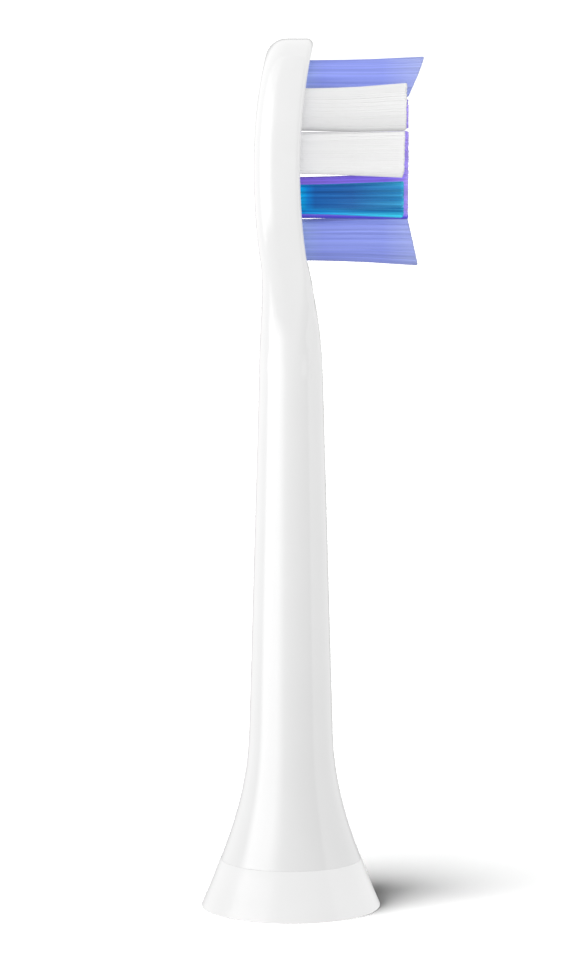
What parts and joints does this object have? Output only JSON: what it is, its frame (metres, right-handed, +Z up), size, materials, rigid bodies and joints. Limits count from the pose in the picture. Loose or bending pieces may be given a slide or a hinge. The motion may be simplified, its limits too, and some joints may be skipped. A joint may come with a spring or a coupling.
{
  "type": "electric toothbrush head",
  "caption": "Click-on sonic toothbrush head: bent oval head with trimmed bristle tufts, slim tapered neck, and a flared foot with a socket for a handle's drive shaft.",
  "frame": {"origin": "on the drive shaft's axis, in the plane of the foot's underside", "axes": "+Z up the neck along the drive shaft's axis, +X out of the bristle face, Y across the head"},
  "size_m": [0.0194, 0.0158, 0.0765],
  "materials": {
    "body": "smooth white moulding",
    "ring": "satin white moulding",
    "plate": "smooth white moulding",
    "mat": "melted nylon",
    "hub": "plain moulding",
    "spring": "bare spring steel",
    "board": "thin film board",
    "coil": "copper track",
    "chip": "moulded",
    "bristle_lavender": "nylon filaments",
    "bristle_white": "nylon filaments",
    "bristle_blue": "dyed nylon filaments that fade",
    "bristle_purple": "nylon filaments"
  },
  "bodies": {
    "root": {"base_ring": "ring", "bristle_plate": "plate", "brush_body": "body", "drive_hub": "hub", "fused_backing": "mat", "spring_clip": "spring", "tag_board": "board", "tag_chip": "chip", "tag_coil": "coil", "tuft_blue_left": "bristle_blue", "tuft_blue_right": "bristle_blue", "tuft_core_lower_left": "bristle_purple", "tuft_core_lower_right": "bristle_purple", "tuft_core_middle_centre": "bristle_purple", "tuft_core_middle_left": "bristle_purple", "tuft_core_middle_right": "bristle_purple", "tuft_core_upper_left": "bristle_purple", "tuft_core_upper_right": "bristle_purple", "tuft_heel": "bristle_lavender", "tuft_tip": "bristle_lavender", "tuft_white_lower_left": "bristle_white", "tuft_white_lower_right": "bristle_white", "tuft_white_upper_left": "bristle_white", "tuft_white_upper_right": "bristle_white"}
  },
  "joints": []
}
